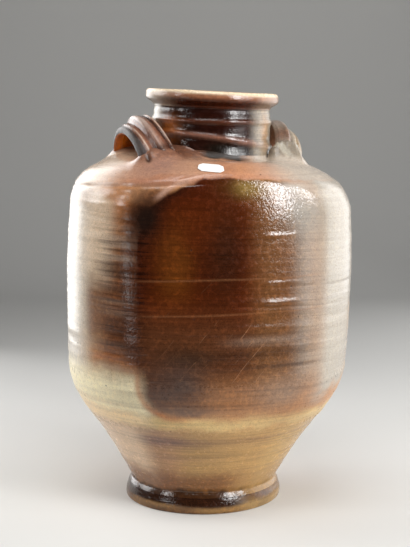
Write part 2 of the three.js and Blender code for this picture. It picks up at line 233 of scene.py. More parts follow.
def wood_fired_glaze(name, shine, peel_depth):
    """Salt and ash glaze as a wood kiln leaves it, over the piece's own fired colours: dark and pale throwing
    lines where the streak mask lets them show, slanting scratches where the scuff mask does, fine dark
    speckle, amber flecks and small pits. Its glassy skin has orange peel as deep as given; the shine is its
    roughness, and the dull mask adds to it."""
    material, tree, shader = new_material(name)
    place = add_node(tree, "TexCoord", {}).outputs["Object"]
    wall_map = add_node(tree, "UVMap", {}, uv_map="wall_map").outputs[0]
    slanting_map = add_node(tree, "Mapping", {0: wall_map, 2: (0, 0, scratch_slant)}).outputs[0]
    clay = add_node(tree, "Attribute", {}, attribute_name="clay").outputs["Color"]

    def mask(mask_name):
        """A mask of the piece, point by point."""
        return add_node(tree, "Attribute", {}, attribute_name=mask_name).outputs["Fac"]

    def stretched(vector, stretch):
        """A map stretched each way, for clouds that are drawn out into lines."""
        return add_node(tree, "Mapping", {0: vector, 3: stretch}).outputs[0]

    def joined(first, way, second):
        """Two values added, subtracted or multiplied."""
        return add_node(tree, "Math", {0: first, 1: second}, operation=way).outputs[0]

    def times(first, second):
        """Two values multiplied."""
        return joined(first, "MULTIPLY", second)

    def shaded(colour, share, shade):
        """A colour multiplied by a shade, by a share."""
        return mixed(tree, share, colour, mixed(tree, 1.0, colour, shade, "MULTIPLY"))

    streak, scuff = mask("streak"), mask("scuff")
    lines = cloud(tree, stretched(wall_map, line_stretch), 1.0, 5.0, 0.62)
    fine_lines = cloud(tree, stretched(wall_map, fine_line_stretch), 1.0)
    peel, grain = cloud(tree, place, peel_scale, 2.0), cloud(tree, place, grain_scale, 2.0)
    mottle = cloud(tree, place, mottle_scale)
    colour = shaded(clay, times(streak, spread(tree, lines, 0.44, 0.66)), dark_line)
    colour = shaded(colour, times(streak, spread(tree, fine_lines, 0.55, 0.7, 0.0, 0.55)), pale_line)
    wander = {"Distortion": 2.4, "Detail": 1.0, "Detail Scale": 0.7}
    strokes = add_node(tree, "TexWave", {"Vector": slanting_map, "Scale": scratch_scale, **wander},
                       wave_type="BANDS", bands_direction="Y").outputs["Fac"]
    threads = times(spread(tree, strokes, 0.98, 0.999), scuff)
    breaks = cloud(tree, stretched(slanting_map, scratch_breaks), 1.0)
    scratches = times(threads, spread(tree, breaks, 0.5, 0.62))
    colour = mixed(tree, times(scratches, 0.7), colour, tone(*scratch_tint))
    specks = times(spread(tree, grain, 0.5, 0.7), spread(tree, scuff, 0.0, 1.0, 0.55, 0.9))
    colour = shaded(colour, specks, dark_speck)
    paleness = add_node(tree, "RGBToBW", {0: clay}).outputs[0]
    flecks = times(spread(tree, mottle, 0.46, 0.68), spread(tree, paleness, 0.05, 0.3, 0.7, 0.2))
    colour = shaded(colour, flecks, amber_fleck)
    cells = add_node(tree, "TexVoronoi", {"Vector": place, "Scale": pit_scale})
    chosen = spread(tree, cells.outputs["Color"], 0.62, 0.64)
    pit = times(spread(tree, cells.outputs["Distance"], 0.075, 0.04), chosen)
    colour = mixed(tree, times(pit, 0.7), colour, tone(*pit_tint))
    tree.links.new(colour, shader.inputs["Base Color"])
    rough = joined(spread(tree, mottle, 0.3, 0.7, shine - 0.05, shine + 0.06), "ADD", mask("dull"))
    tree.links.new(rough, shader.inputs["Roughness"])
    skin = joined(peel, "ADD", times(mottle, 0.9))
    for marks, depth, mask_share in [(lines, 1.4, streak), (scratches, 0.8, scuff), (grain, 1.2, scuff)]:
        skin = joined(skin, "ADD", times(times(mask_share, depth), marks))
    skin = joined(skin, "SUBTRACT", pit)
    bumped = add_node(tree, "Bump", {"Strength": 0.6, "Distance": peel_depth * metre, "Height": skin})
    tree.links.new(bumped.outputs[0], shader.inputs["Normal"])
    return material


def foot_outline():
    """The foot's profile from the middle of its underside, out and up the ledge's edge, up its slope to the
    seam, and back over the floor inside."""
    ground_end, side_start = (foot_radius - foot_edge_round, 0), (foot_radius, foot_edge_round)
    side_end = (foot_radius, ledge_edge_level - ledge_round)
    slope_start = (foot_radius - ledge_slope * ledge_round, ledge_edge_level + ledge_round)
    floor_corner = (ankle_radius - wall, floor_level)
    ledge = np.concatenate([
        straight((floor_middle, 0), ground_end, 14)[:-1],
        curve(ground_end, (foot_radius, 0), side_start, 8)[:-1],
        straight(side_start, side_end, 4)[:-1],
        curve(side_end, (foot_radius, ledge_edge_level), slope_start, 10)[:-1],
        straight(slope_start, (ledge_top_radius, ankle_level), 8),
    ])
    inside = np.concatenate([
        straight((ankle_radius - wall, ankle_level), floor_corner, 3)[:-1],
        straight(floor_corner, (floor_middle, floor_level), 12),
    ])
    return ledge, inside


ledge, floor_line = foot_outline()
foot_rows = np.concatenate([ledge, floor_line])
foot_level = foot_rows[:, 1:]
on_ledge = eased(foot_rows[:, :1], ankle_radius - wall, ankle_radius) * eased(foot_level, 0, 2)
on_ledge[len(ledge):] = 0
below_seam = eased(foot_level, ankle_level, ankle_level - ledge_fade)
foot_wobble = on_ledge * (ledge_wobble * below_seam * kiln_noise(foot_level, 11, 9, 11) - glaze_skin)
foot_lift = on_ledge * below_seam * ledge_wave * kiln_noise(foot_level, 14, 40, 12)
foot_points = settled(turned(foot_rows[:, :1] + foot_wobble, foot_level + foot_lift))
foot_inside = np.zeros_like(foot_level)
foot_inside[len(ledge):] = 1
foot_pool = eased(foot_level + 1.5 * kiln_noise(foot_level, 11, 30, 13), 5.5, 9.5)
foot_right = sector(0, 22, 110, 150)
underside = eased(foot_level, 0.6, 0.1)
foot_colour = painted(
    tone(140, 104, 58),
    brown_mottle=((96, 62, 34), eased(kiln_noise(foot_level, 17, 9, 14), -0.3, 0.7)),
    dark_pool=(pool_tint, foot_pool * (1 - 0.6 * foot_right)),
    right_ochre=((178, 150, 100), 0.5 * foot_right * eased(foot_level, 12, 6)),
    bare_clay=((172, 136, 100), underside),
    lining=(bore_tint, foot_inside),
)
foot_masks = {"streak": 0.3 * on_ledge, "dull": 0.4 * (1 - foot_inside) * underside}
foot_glaze = wood_fired_glaze("foot_glaze", 0.14, 0.4)
foot = grid_piece("foot", foot_points, foot_colour, foot_masks, foot_glaze, capped=True)
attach(foot, "root")
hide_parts("foot_base")

# Lower wall: the cone that flares from the ankle and turns up into the drum.
# It was thrown as one bowl with the floor's rim and luted to it; the fire left cream ash under the dark
# mark, mauve throwing streaks on the left, and an ochre-gold glaze in front.
drum_radius = 149.0
ankle_angle = 30.0
ledge_climb, ledge_bow, ledge_lift_reach = 5.0, 0.9, 12.0
seam_fade, seam_tuck = 9.0, 0.15
cone_level, cone_radius, cone_angle = 91.0, drum_radius - 27.5, 39.0
waist_level, waist_radius, waist_angle = 145.0, drum_radius - 2.4, 3.0
row_spacing, inside_spacing, bend_steps = 1.1, 7.0, 200
panel_reach, panel_level, panel_heading = drum_radius - 18, 150.0, math.radians(-10)
panel_crown_across, panel_crown_upright = 285.0, 1584.0
panel_edge_round = 8.0
panel_fall, panel_fall_level, panel_fall_reach = 0.0016, 305.0, 40.0
rag_ridges = [(291.0, 1.8), (245.0, 1.6), (226.0, 1.8)]
rag_ridge_height, rag_ridge_slope, rag_ridge_middle = 0.5, 0.13, 12.0
crease_level, crease_fall = 337.6, 0.19
mark_left, mark_left_slope, mark_right = -47.4, -0.0149, 29.0
mark_foot, mark_top, mark_radius = 111.0, 344.0, 135.0
mark_upper_left, mark_upper_right, mark_lower = (82.0, 60.0), (45.0, 36.0), (34.0, 32.0)


def panel_face(angle, level):
    """Distance of the flattened panel's face from the axis in one direction and at one level: a face crowned
    across and upright, which falls back a little more below its upper edge."""
    reach = panel_reach - (level - panel_level) ** 2 / (2 * panel_crown_upright)
    reach = reach - panel_fall * np.clip(level - panel_fall_level, 0, panel_fall_reach) ** 2
    ahead, aside = np.cos(angle - panel_heading), np.sin(angle - panel_heading)
    root = np.sqrt(ahead**2 + 2 * reach * aside**2 / panel_crown_across)
    return 2 * reach / np.maximum(ahead + root, 1e-9)


def pressed(radius, level, depth, angle=azimuth):
    """A radius pressed in by the flattened front panel: the lesser of the radius and the distance of the
    panel's face, with a rounded edge between them. The depth is 1 on the inside of the wall."""
    face = panel_face(angle, level) - depth * wall
    return (radius + face - np.hypot(radius - face, panel_edge_round)) / 2


def heading(angle):
    """The direction along a wall that leans out by an angle in degrees: outward and upward."""
    return np.array([math.sin(math.radians(angle)), math.cos(math.radians(angle))])


def cubic(start, leave, arrive, end, steps):
    """Points of a cubic curve from start to end that leaves towards one point and arrives from another."""
    share = np.linspace(0, 1, steps)[:, None]
    start, leave, arrive, end = np.array(start), np.array(leave), np.array(arrive), np.array(end)
    return ((1 - share) ** 3 * start + 3 * share * (1 - share) ** 2 * leave
            + 3 * share**2 * (1 - share) * arrive + share**3 * end)


def wall_line(stations):
    """The wall's line through stations of radius, level and angle off vertical: a cubic curve between each
    two, tangent to both, as evenly spaced points from the lowest to the highest."""
    bends = []
    for (radius, level, angle), (next_radius, next_level, next_angle) in zip(stations, stations[1:]):
        start, end = np.array([radius, level]), np.array([next_radius, next_level])
        handle = np.linalg.norm(end - start) / 3
        leave, arrive = start + handle * heading(angle), end - handle * heading(next_angle)
        bends.append(cubic(start, leave, arrive, end, bend_steps))
    return evenly_spaced(np.concatenate(bends), row_spacing)


def evenly_spaced(line, spacing):
    """The same line with its points about one spacing apart."""
    way = np.concatenate([[0], np.cumsum(np.linalg.norm(np.diff(line, axis=0), axis=1))])
    at = np.linspace(0, way[-1], int(way[-1] / spacing) + 2)
    return np.stack([np.interp(at, way, line[:, 0]), np.interp(at, way, line[:, 1])], -1)


def out_of(line):
    """The direction out of the wall at each point of its line."""
    along = np.gradient(line, axis=0, edge_order=2)
    along /= np.linalg.norm(along, axis=1, keepdims=True)
    return np.stack([along[:, 1], -along[:, 0]], -1)


def outer_wall(line, relief, rise):
    """A wall line turned, pressed by the panel, moved out by the relief, lifted by the rise and settled."""
    out = out_of(line)
    radius = pressed(line[:, :1], line[:, 1:], 0) + relief * out[:, :1]
    return settled(turned(radius, line[:, 1:] + relief * out[:, 1:] + rise))


def inner_wall(line):
    """An inside line turned, pressed by the panel one wall deep, and settled."""
    return settled(turned(pressed(line[:, :1], line[:, 1:], 1), line[:, 1:]))


def thrown_section(name, line, inside, relief, colour, masks, material, rise=0.0):
    """One thrown section: its outside rows, then its inside rows from the top down, closed by the seams."""
    points = np.concatenate([outer_wall(line, relief, rise), inner_wall(inside[::-1])])
    shown, hidden = np.zeros((len(line), columns)), np.zeros((len(inside), columns))
    full = {key: np.concatenate([value + shown, hidden]) for key, value in masks.items()}
    lining = np.broadcast_to(tone(*bore_tint), (len(inside), columns, 4))
    return grid_piece(name, points, np.concatenate([colour, lining]), full, material)


def inside_of(line, start_heading, end_heading):
    """The line one wall in from the outside, square to the seams at both ends."""
    out = out_of(line)
    out[0] = start_heading[1], -start_heading[0]
    out[-1] = end_heading[1], -end_heading[0]
    return evenly_spaced(line - wall * out, inside_spacing)


def throwing_relief(level):
    """The potter's finger rings, gone from the paddled panel, and the slack roundness of the wall."""
    paddled = 1 - 0.85 * sector(-44, -34, 30, 40) * eased(level, 235, 275)
    rings = (0.3 * kiln_noise(level, 4, 8.0, 21) + 0.18 * kiln_noise(level, 9, 3.3, 22)) * paddled
    slack = 0.3 * kiln_noise(level, 5, 70, 23) + 0.12 * kiln_noise(level, 26, 24, 24)
    ribbed = 0.22 * left_wall(level) * kiln_noise(level, 7, 5.7, 25)
    return rings + slack + ribbed + wiped_ridges(level) - glaze_skin


def wiped_ridges(level):
    """Three short ridges on the right of the panel, left by the rag that wiped it."""
    line = level - rag_ridge_slope * (facing - rag_ridge_middle)
    ridges = sum(bell(line, height, reach) for height, reach in rag_ridges)
    uneven = 0.8 + 0.6 * kiln_noise(0 * level, 50, 30, 26)
    return rag_ridge_height * sector(1, 6, 17, 23) * ridges * uneven


def left_wall(level):
    """Where the round wall left of the panel kept the lines of the potter's rib: 1 there, 0 elsewhere."""
    return sector(-74, -59, -48, -43) * eased(level, 150, 178) * eased(level, 312, 276)


def corner_depth(across, along, corner):
    """How far in mm a point lies inside a rounded corner of one width and height, measured by the height."""
    width, height = corner
    return height * (1 - np.hypot(np.clip(1 - across / width, 0, None), np.clip(1 - along / height, 0, None)))


def mark_distance(level):
    """Distance in mm inside the edge of the dark mark, negative outside: an upright oblong with a leaning
    left edge, a long oval corner at the upper left and smaller round ones elsewhere."""
    degree = math.radians(1) * mark_radius
    left = (facing - mark_left - mark_left_slope * (level - waist_level)) * degree
    right = (mark_right - facing) * degree
    above, below = mark_top - level, level - mark_foot
    return np.minimum.reduce(np.broadcast_arrays(
        left, right, above, below,
        corner_depth(left, above, mark_upper_left), corner_depth(right, above, mark_upper_right),
        corner_depth(left, below, mark_lower), corner_depth(right, below, mark_lower),
    ))


def flash_mark(level):
    """The dark flash of the fire: crisp at its left edge and top, soft towards the right and at its foot."""
    ragged = 1.0 * kiln_noise(level, 90, 7, 31) + 1.2 * kiln_noise(level, 24, 30, 32)
    soft_right = 16 * past(0, 26) * eased(level, 344, 325)
    soft_foot = 14 * eased(level, 150, 116) * past(-30, -8)
    soft_corner = 6 * eased(level, 185, 150) * past(-24, -36)
    softness = 1.6 + soft_right + soft_foot + soft_corner
    return eased(mark_distance(level) + ragged, -softness, softness)


def ragged_edge(level):
    """The fine raggedness of the edges that the fire drew, within 1.6 either way."""
    return kiln_noise(level, 60, 9, 42) + 0.6 * kiln_noise(level, 120, 4, 43)


def ragged_distance(level):
    """The distance inside the edge of the dark mark, made uneven for the colours that follow the edge."""
    return mark_distance(level) + 1.5 * kiln_noise(level, 60, 9, 42)


def wall_colour(level):
    """The body outside the dark mark, laid over the plain tan of the clay: a pale wall and a brown one below
    it at the left, a pale wall at the right, cream ash low down, and a mottle of all of these behind. The
    left wall's paleness and its darkening towards the mark, the pale right wall and the paler ash at the left
    are partly painted light, shade and reflection from the side lamps."""
    ragged, drift = ragged_edge(level), kiln_noise(level, 14, 30, 48)
    wavy = level + 4 * ragged + 9 * drift
    soft = level + 1.5 * ragged + 4 * drift
    behind = eased(np.abs(facing), 92, 128)
    left, right = sector(-150, -118, -48, -38), sector(20, 36, 95, 130)
    ribbed, bands = left_wall(level), kiln_noise(level, 5, 6.0, 49)
    pale_side = past(-56, -66) * eased(wavy, 228, 262) * eased(wavy, 332, 310)
    low_rust = eased(wavy, 258, 222) * eased(wavy, 160, 196) * sector(-82, -71, -64, -55)
    broken = sector(46, 70, 120, 150) * eased(kiln_noise(level, 11, 34, 57), -0.3, 0.5)
    ash = eased(soft, 92, 124) * eased(soft, 166, 134)
    ash = ash * (1 - 0.35 * eased(kiln_noise(level, 5, 5, 58), 0.0, 0.6))
    return painted(
        tone(190, 138, 92),
        brown_mottle=((160, 106, 64), 0.7 * eased(kiln_noise(level, 7, 60, 41), -0.2, 0.7)),
        rust_behind=((140, 86, 50), 0.7 * behind * eased(kiln_noise(level, 6, 75, 44), 0.0, 0.6)),
        cream_behind=((212, 180, 132), 0.8 * behind * eased(kiln_noise(level, 5, 90, 45), 0.05, 0.6)),
        mauve_behind=((112, 78, 60), 0.6 * behind * eased(kiln_noise(level, 8, 50, 46), 0.25, 0.8)),
        left_tan=((148, 98, 62), 0.9 * left),
        left_brown=((112, 66, 38), 0.85 * left * eased(wavy, 295, 235) * past(-76, -62)),
        high_orange=((180, 112, 60), 0.75 * left * bell(wavy, 322, 16) * past(-72, -62)),
        # beside the mark: dark brown, partly painted shade where the wall turns away from the left lamps
        beside_mark=((80, 46, 29), 0.85 * left * past(-59, -50)),
        # far left cream and pale side: partly painted light and reflection from the lamps on the left
        far_cream=((210, 192, 164), 0.85 * left * past(-58, -74)),
        pale_side=((226, 200, 172), 0.85 * left * pale_side),
        far_orange=((186, 136, 98), 0.7 * left * eased(wavy, 312, 328) * past(-86, -72)),
        low_rust=((116, 70, 40), 0.85 * left * low_rust),
        low_tan=((172, 128, 88), 0.6 * left * eased(wavy, 196, 170) * past(-60, -70)),
        # near-white towards the far left edge: partly a painted reflection of the lamp behind on the left
        far_white=((226, 220, 210), 0.8 * left * past(-68, -86) * eased(wavy, 120, 150)),
        low_dark=((66, 35, 18), 0.7 * left * bell(wavy, 196, 22) * past(-68, -58)),
        low_orange=((170, 104, 60), 0.8 * left * bell(wavy, 164, 11) * sector(-76, -66, -51, -47)),
        pale_bands=((152, 136, 120), 0.55 * ribbed * eased(bands, 0.0, 0.5) * eased(level, 200, 226)),
        dark_bands=((62, 40, 28), 0.6 * ribbed * eased(bands, -0.05, -0.5)),
        # right wall: pale grey, partly a painted reflection of the lamps on the right
        right_grey=((172, 168, 158), 0.9 * right * eased(wavy, 112, 135)),
        right_tan=((188, 152, 112), 0.7 * broken * eased(wavy, 104, 130)),
        # cream ash at the lower left, made paler as painted light from below
        left_ash=((255, 243, 204), 0.95 * left * ash),
    )


def cone_colour(level, colour):
    """The lower wall over the body's colour: a gold glaze in front, a cream band under the mark, mauve and
    brown throwing lines, and brown darkening to the foot. The cream band and the cream side at the left are
    partly painted light."""
    wavy = level + 2.5 * ragged_edge(level)
    cone = eased(level, 104, 92)
    rings = 0.5 + 0.5 * kiln_noise(level, 3, 3.6, 47)
    browned = eased(wavy, 56, 32) * (1 - 0.7 * sector(-10, 14, 80, 120))
    return painted(
        colour,
        tan=((198, 152, 108), 0.75 * cone),
        front_gold=((188, 149, 90), 0.85 * cone * sector(-44, -26, 60, 100)),
        front_band=((216, 188, 130), 0.85 * bell(wavy, 104, 7) * sector(-80, -50, 48, 80)),
        # cream band at the left: partly painted light from below
        left_band=((255, 224, 178), 0.85 * bell(wavy, 105, 10) * sector(-150, -118, -52, -40)),
        mauve_lines=((128, 94, 80), np.clip(patch(level, -46, 26, 85, 9) * (0.4 + rings), 0, 0.9)),
        low_mauve_lines=((150, 112, 90), 0.6 * patch(level, -44, 30, 62, 7) * rings),
        brown_lines=((150, 108, 80), 0.7 * patch(level, 14, 30, 86, 5) * rings),
        right_gold=((196, 164, 106), 0.4 * cone * sector(9, 24, 64, 100)),
        # cream side at the left: partly painted light from the side lamps
        left_cream=((228, 200, 170), 0.8 * cone * sector(-150, -118, -62, -46)),
        low_brown=((122, 74, 36), 0.85 * cone * browned),
        dark_pool=(pool_tint, 0.9 * eased(wavy, 26, 19) * (1 - 0.6 * foot_right)),
    )


def shoulder_colour(level, colour):
    """The shoulder over the body's colour: pinkish tan, mauve by the left lug, orange in front, cream at the
    far left that is partly painted light, grey-beige at the right, painted shade along the crease and a
    painted highlight along its front right edge."""
    above = level - crease_line(level)
    on = eased(above + 1.2 * ragged_edge(level), -1.5, 1.5)
    front, far_left = sector(-64, -50, 6, 24), sector(-150, -118, -84, -58)
    return painted(
        colour,
        pinkish_tan=((184, 142, 117), 0.85 * on),
        # far left cream: partly painted light from above and behind
        far_cream=((194, 170, 144), 0.85 * on * far_left),
        # painted shade along the crease
        crease_brown=((168, 108, 78), 0.6 * on * front * bell(above, 4, 5)),
        lug_mauve=((150, 112, 98), 0.8 * on * patch(level, -49, 12, 353, 12)),
        front_orange=((188, 126, 82), 0.6 * on * patch(level, -4, 13, 354, 8)),
        front_mottle=((166, 114, 86), 0.5 * on * front * eased(kiln_noise(level, 26, 11, 53), 0, 0.6)),
        right_beige=((186, 177, 164), 0.85 * on * sector(6, 30, 90, 120)),
        edge_brown=((150, 112, 84), 0.6 * bell(level, 319, 10) * past(-54, -66) * far_left),
        # painted highlight along the shoulder's edge at the front right
        front_cream=((206, 184, 164), 0.4 * on * patch(level, 14, 14, 350, 5)),
    )


def mark_colour(level):
    """The dark mark: red-brown with an ochre heart that is partly painted light from the left lamp, a painted
    shade band down the front, a darker left edge and top, grey veils to the right that are partly a painted
    reflection of the right lamps, and below them a mauve smudge and a pinkish brown foot."""
    drawn = level - 0.12 * facing + 1.5 * kiln_noise(level, 20, 30, 55)
    wiped = past(-30, -12)
    heart = patch(level, -35, 6.5, 260, 32) * (0.75 + 0.5 * kiln_noise(level, 40, 22, 54))
    edge = eased(ragged_distance(level), 12, 1) * (0.35 + 0.65 * eased(level, 270, 300))
    edge = edge * past(-26, -36) * eased(level, 140, 190)
    smudge = patch(level, -33, 13, 141, 21) * (1 + 0.4 * kiln_noise(level, 50, 12, 56))
    return painted(
        tone(84, 34, 8),
        dark_mottle=((66, 25, 5), eased(kiln_noise(level, 11, 50, 51), -0.4, 0.6)),
        low_brown=((88, 54, 32), 0.75 * eased(level, 235, 185)),
        # ochre heart: partly painted light, where the left lamp falls on the panel
        ochre_heart=((132, 76, 26), np.clip(0.5 * heart, 0, 1)),
        right_tan=((111, 74, 42), 0.8 * past(-7, 7)),
        # right and high veils: pale grey, partly a painted reflection of the tall lamps on the right
        right_veil=((154, 144, 131), 0.75 * past(14, 26)),
        high_veil=((164, 160, 152), 0.75 * patch(level, 27, 10, 322, 20)),
        olive_top=((146, 122, 62), 0.65 * patch(level, -4, 10, 336, 9)),
        # painted shade: the dark band down the front, where neither side lamp reaches
        smoky_band=((46, 22, 9), 0.8 * patch(level, -13, 9, 276, 46)),
        wiped_dark=((58, 35, 21), 0.45 * wiped * bell(drawn, 175, 5)),
        wiped_pale=((126, 106, 92), 0.6 * past(-20, 2) * bell(drawn, 187, 5)),
        wiped_smoke=((52, 37, 25), 0.7 * patch(level, -28, 11, 170, 13)),
        wiped_line=((66, 40, 25), 0.6 * wiped * bell(drawn, 160, 2)),
        thin_lines=((158, 108, 72), 0.3 * (bell(drawn, 216, 0.8) + bell(drawn, 249, 0.8))),
        dark_top=((62, 21, 4), 0.7 * eased(level, 305, 332) * past(-4, -14)),
        dark_edge=((44, 17, 6), 0.85 * edge),
        foot_brown=((150, 104, 68), 0.85 * eased(level, 165, 130) * past(-32, -16)),
        foot_grey=((132, 112, 96), 0.7 * patch(level, 14, 13, 134, 20)),
        mauve_smudge=((80, 64, 57), np.clip(0.9 * smudge, 0, 0.9)),
        foot_mauve=((126, 99, 82), 0.7 * patch(level, -29, 14, 116, 11)),
    )


def fired_colour(level):
    """The colours that the fire left on the body, with painted light among them: wall, cone and shoulder,
    then the dark mark over them, with darker wall outside its left edge that is partly painted shade, a
    near-black patch at its upper left corner, an orange rim low down, a painted highlight on the fold at its
    upper corner, and grey and pale patches at its upper right that are partly a painted reflection."""
    distance = ragged_distance(level)
    # darker wall outside the mark's left edge: partly painted shade where the wall turns from the left lamps
    soot = past(-30, -38) * eased(distance, -20, -4) * eased(level, 150, 170) * eased(level, 336, 326)
    rim = eased(level, 168, 140) * past(-22, -40) * bell(distance, -1.5, 3.0)
    fold = sector(-46, -40, -30, -22) * eased(level, 316, 326) * bell(distance, -3.2, 2.2)
    colour = shoulder_colour(level, cone_colour(level, wall_colour(level)))
    colour = painted(colour, soot=((78, 42, 24), 0.75 * soot))
    return painted(
        over(colour, mark_colour(level), flash_mark(level)),
        # a near-black patch at the mark's upper left corner
        corner_soot=((30, 17, 11), np.clip(1.1 * patch(level, -47, 6, 303, 19), 0, 0.95)),
        orange_rim=((178, 98, 42), 0.5 * rim),
        # painted highlight along the raised fold
        pale_fold=((204, 164, 144), 0.7 * fold),
        # grey and pale patches right of the panel's highlight: partly a painted reflection of the lamps on
        # the right
        right_grey=((138, 130, 118), 0.75 * patch(level, 24, 10, 316, 22)),
        right_pale=((180, 172, 162), 0.8 * patch(level, 21, 9, 338, 7)),
    )


def crease_line(level):
    """The level of the crease where the shoulder was luted on; it falls away towards the left and behind."""
    fall = crease_fall * np.clip(facing + 30, -66, 30) * eased(np.abs(facing), 178, 120)
    return crease_level + fall + 0.5 * kiln_noise(0 * level, 18, 60, 52)


def body_masks(level):
    """Where throwing lines show, strong on the left wall and faint on the mark and the cone; where the panel
    is scratched; and where the glaze is dull with ash, or bright on the panel's upper right and just above
    the foot."""
    streak = 0.6 * left_wall(level) + 0.2 * flash_mark(level) + 0.3 * bell(level, 74, 26)
    streak = (streak + 0.3 * eased(np.abs(facing), 100, 125)) * eased(level, 336, 318) + 0.12
    scuff = 0.8 * patch(level, -6, 28, 196, 34) + 0.6 * patch(level, 4, 26, 150, 22)
    ash = 0.1 * eased(level, 150, 138) * eased(level, 92, 100)
    bright = 0.06 * patch(level, 12, 20, 318, 36) + 0.08 * eased(level, 25, 20)
    return {"streak": np.clip(streak, 0, 1), "scuff": scuff, "dull": ash - bright}


cone_line = wall_line([
    (ankle_radius, ankle_level, ankle_angle), (cone_radius, cone_level, cone_angle),
    (waist_radius, waist_level, waist_angle),
])
cone_inside = inside_of(cone_line, heading(0), heading(waist_angle))
cone_rise, cone_lean = cone_line[:, 1:], math.radians(ankle_angle)
above_seam = eased(cone_rise, ankle_level, ankle_level + seam_fade)
tucked_skin = glaze_skin * (1 + seam_tuck * (1 - above_seam))
ledge_share = np.clip(1 - (cone_rise - ankle_level) / ledge_climb, 0, 1) ** ledge_bow
ledge_fill = (ledge_top_radius - ankle_radius) * ledge_share / math.cos(cone_lean)
cone_relief = (throwing_relief(cone_rise) + glaze_skin) * above_seam - tucked_skin + ledge_fill
on_ledge_climb = eased(cone_rise, ankle_level + ledge_lift_reach, ankle_level + ledge_climb)
cone_lift = math.sin(cone_lean) * cone_relief * on_ledge_climb
lower_wall = thrown_section("lower_wall_glazed", cone_line, cone_inside, cone_relief,
                            fired_colour(cone_rise), body_masks(cone_rise),
                            wood_fired_glaze("ash_glaze", 0.22, 0.25), cone_lift)
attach(lower_wall, "root")
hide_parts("lower_wall")

# Drum: the tall barrel of the jar, thrown upright and paddled flat in front while leather-hard.
# The panel took the full flame, so it is dark red-brown with orange peel; the round wall beside it kept the
# grey and orange lines of the potter's rib.
belly_level = 238.0
drum_top_level, drum_top_radius, drum_top_angle = 308.0, drum_radius - 2.6, -4.0
drum_line = wall_line([
    (waist_radius, waist_level, waist_angle), (drum_radius, belly_level, 0),
    (drum_top_radius, drum_top_level, drum_top_angle),
])
drum_inside = inside_of(drum_line, heading(waist_angle), heading(drum_top_angle))
drum_level = drum_line[:, 1:]
drum = thrown_section("drum_glazed", drum_line, drum_inside, throwing_relief(drum_level),
                      fired_colour(drum_level), body_masks(drum_level),
                      wood_fired_glaze("flashed_glaze", 0.18, 0.27))
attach(drum, "root")
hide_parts("drum_wall")

# Shoulder: the rounded cap that closes the barrel in to the neck, luted to both.
# Its slope is pinkish tan and glossy, with clay smeared up round the four roots of the lugs and a thin
# crease where the upper edge of the panel runs out to the left.
neck_radius, neck_foot_level = 60.8, 367.0
edge_level, edge_radius, edge_angle = 341.0, drum_radius - 19.5, -57.0
slope_level, slope_radius, slope_angle = 358.0, neck_radius + 32.2, -74.0
crease_depth, crease_reach = 0.9, 1.4
crease_bank, crease_bank_rise, crease_bank_reach = 0.7, 3.5, 3.0
fold_height, fold_place, fold_reach = 0.8, -3.2, 2.4
neck_foot_dip, neck_dip_reach = 3.6, 16.0
neck_foot_flare, neck_flare_reach, neck_flare_rise = 1.5, 5.0, 12.0
left_web_rise, left_web_reach = 10.0, 14.0
flute_pitch, flute_depth = 6.0, 0.035
pool_width, pool_wave, pool_edge = 7.5, 1.5, 5.0
# Each bank of clay: rise; middle, half length and squareness along X; distance and half width along Y.
left_bank, left_thumb_pit = (10.0, -73.0, 23.0, 4, 48.0, 11.0), (3.0, -87.0, 2.6, 2, 56.0, 4.4)
right_bank, right_web = (9.0, 66.0, 19.0, 6, 47.0, 11.0), (11.0, 62.0, 17.0, 8, 45.0, 8.0)


def clay_bank(line, rise, middle, half_length, squareness, root, half_width):
    """Two equal banks of clay, one at each root of a lug: a bell across each, and along X a bell that is
    flatter on top and steeper at its ends where the squareness is larger."""
    east, aside = line[:, :1] * np.sin(azimuth), np.abs(line[:, :1] * np.cos(azimuth))
    lengthwise = ((east - middle) / half_length) ** squareness
    return rise * np.exp(-lengthwise - ((aside - root) / half_width) ** 2)


def clay_smears(line):
    """Clay smeared up round the roots of the lugs, as a rise in mm: a low bank under each root, a web drawn
    up the neck beside each left root, a fluted web between each right root and the neck, and a thumb pit by
    the outer foot of each left root."""
    radius, east = line[:, :1], line[:, :1] * np.sin(azimuth)
    beside = np.degrees(np.arctan2(-east, np.abs(radius * np.cos(azimuth))))
    drawn_up = eased(beside, 20, 48) * eased(beside, 84, 62)
    left_web = left_web_rise * drawn_up * bell(radius, neck_radius, left_web_reach)
    flutes = 1 + flute_depth * np.cos(2 * np.pi * east / flute_pitch + 0.6 * np.sin(east / 3))
    right_clay = (clay_bank(line, *right_bank) + clay_bank(line, *right_web)) * flutes
    rise = np.maximum(clay_bank(line, *left_bank), left_web) + right_clay
    lumps = 1 + 0.06 * kiln_noise(line[:, 1:], 60, 9, 71)
    off_seam = eased(radius, neck_radius + 0.3, neck_radius + 3)
    return rise * lumps * off_seam - clay_bank(line, *left_thumb_pit)


def neck_dip(nearness):
    """How far in mm the foot of the neck sits lower in front and to the right; nearness is 1 at the seam."""
    return -neck_foot_dip * nearness * sector(-26, 4, 48, 75)


def shoulder_crease(level):
    """The luted crease round the left of the shoulder: a groove with the shoulder a little proud above it."""
    above = level - crease_line(level)
    bank = crease_bank * bell(above, crease_bank_rise, crease_bank_reach)
    return sector(-120, -95, -30, -18) * (bank - crease_depth * bell(above, 0, crease_reach))


def panel_fold(level):
    """A fold of clay raised along the upper left corner of the panel."""
    drawn = sector(-48, -42, -30, -20) * eased(level, 314, 326)
    return fold_height * drawn * bell(mark_distance(level), fold_place, fold_reach)


